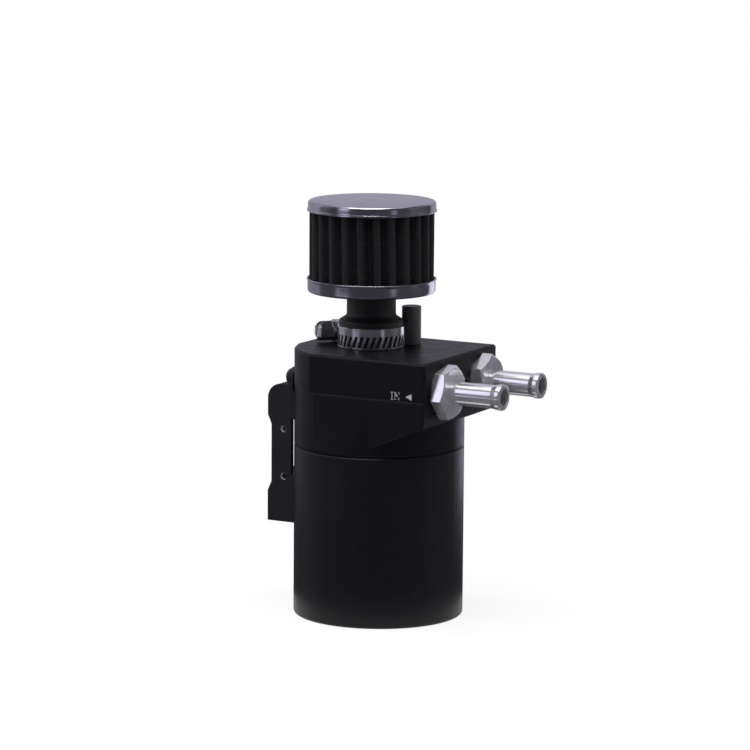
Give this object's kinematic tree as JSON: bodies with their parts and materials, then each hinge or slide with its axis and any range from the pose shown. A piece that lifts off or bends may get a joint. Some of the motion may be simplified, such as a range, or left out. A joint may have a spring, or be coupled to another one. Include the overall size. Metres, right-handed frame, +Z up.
{
  "type": "oil catch can",
  "caption": "Black metal oil catch can: round bowl screwed under a machined head with bright hose tails, a pleated breather filter on a clamped boot, a dipstick and a bracket.",
  "frame": {"origin": "centre of the bowl's base, on the surface that the can stands on", "axes": "+Z up along the can's axis; +X the way the hose tails point; the bracket is at -X"},
  "size_m": [0.1085, 0.068, 0.166],
  "materials": {
    "black_anodised": "polished black anodised",
    "bracket_black": "satin black anodised",
    "bright_aluminium": "bright turned and polished",
    "plain_aluminium": "machined",
    "dark_chrome": "bright plated sheet",
    "bright_steel": "bright stainless",
    "black_steel": "black oxide",
    "black_rubber": "moulded",
    "filter_gauze": "pleated gauze between wire screens",
    "wire_mesh": null
  },
  "bodies": {
    "body": {"head": "black_anodised", "inlet_fitting": "bright_aluminium", "outlet_fitting": "bright_aluminium", "inlet_washer": "plain_aluminium", "outlet_washer": "plain_aluminium", "breather_neck": "plain_aluminium", "filter_boot": "black_rubber", "filter_lower_cap": "dark_chrome", "filter_element": "filter_gauze", "filter_support_tube": "bright_steel", "filter_top_pad": "black_rubber", "filter_top_cap": "dark_chrome", "clamp_band": "bright_steel", "clamp_housing": "bright_steel", "baffle_plate": "plain_aluminium", "baffle_screws": "bright_steel", "mesh_pad": "wire_mesh", "bracket": "bracket_black", "bracket_screws": "black_steel"},
    "bowl_seal": {"bowl_o_ring": "black_rubber"},
    "bowl": {"bowl": "black_anodised"},
    "dipstick": {"dipstick_knob": "black_anodised", "dipstick_rod": "bright_steel", "dipstick_o_ring": "black_rubber"},
    "clamp_screw": {"clamp_screw": "bright_steel"}
  },
  "joints": [
    {"name": "bowl_drop", "type": "slide", "parent": "body", "child": "bowl_seal", "axis": [0, 0, -1], "range_m": [0, 0.01001]},
    {"name": "bowl_turn", "type": "hinge", "parent": "bowl_seal", "child": "bowl", "pos_m": [0, 0, 0.0685], "axis": [0, 0, -1], "range_deg": [0, 1800]},
    {"name": "dipstick_pull", "type": "slide", "parent": "body", "child": "dipstick", "axis": [0, 0, 1], "range_m": [0, 0.006]},
    {"name": "clamp_turn", "type": "hinge", "parent": "body", "child": "clamp_screw", "pos_m": [-0.01838, 0.00891, 0.1119], "axis": [-0.6691, -0.7431, 0], "continuous": true}
  ],
  "couplings": [
    {"joint": "bowl_drop", "follows": "bowl_turn", "m_per_rad": 0.00031831}
  ]
}
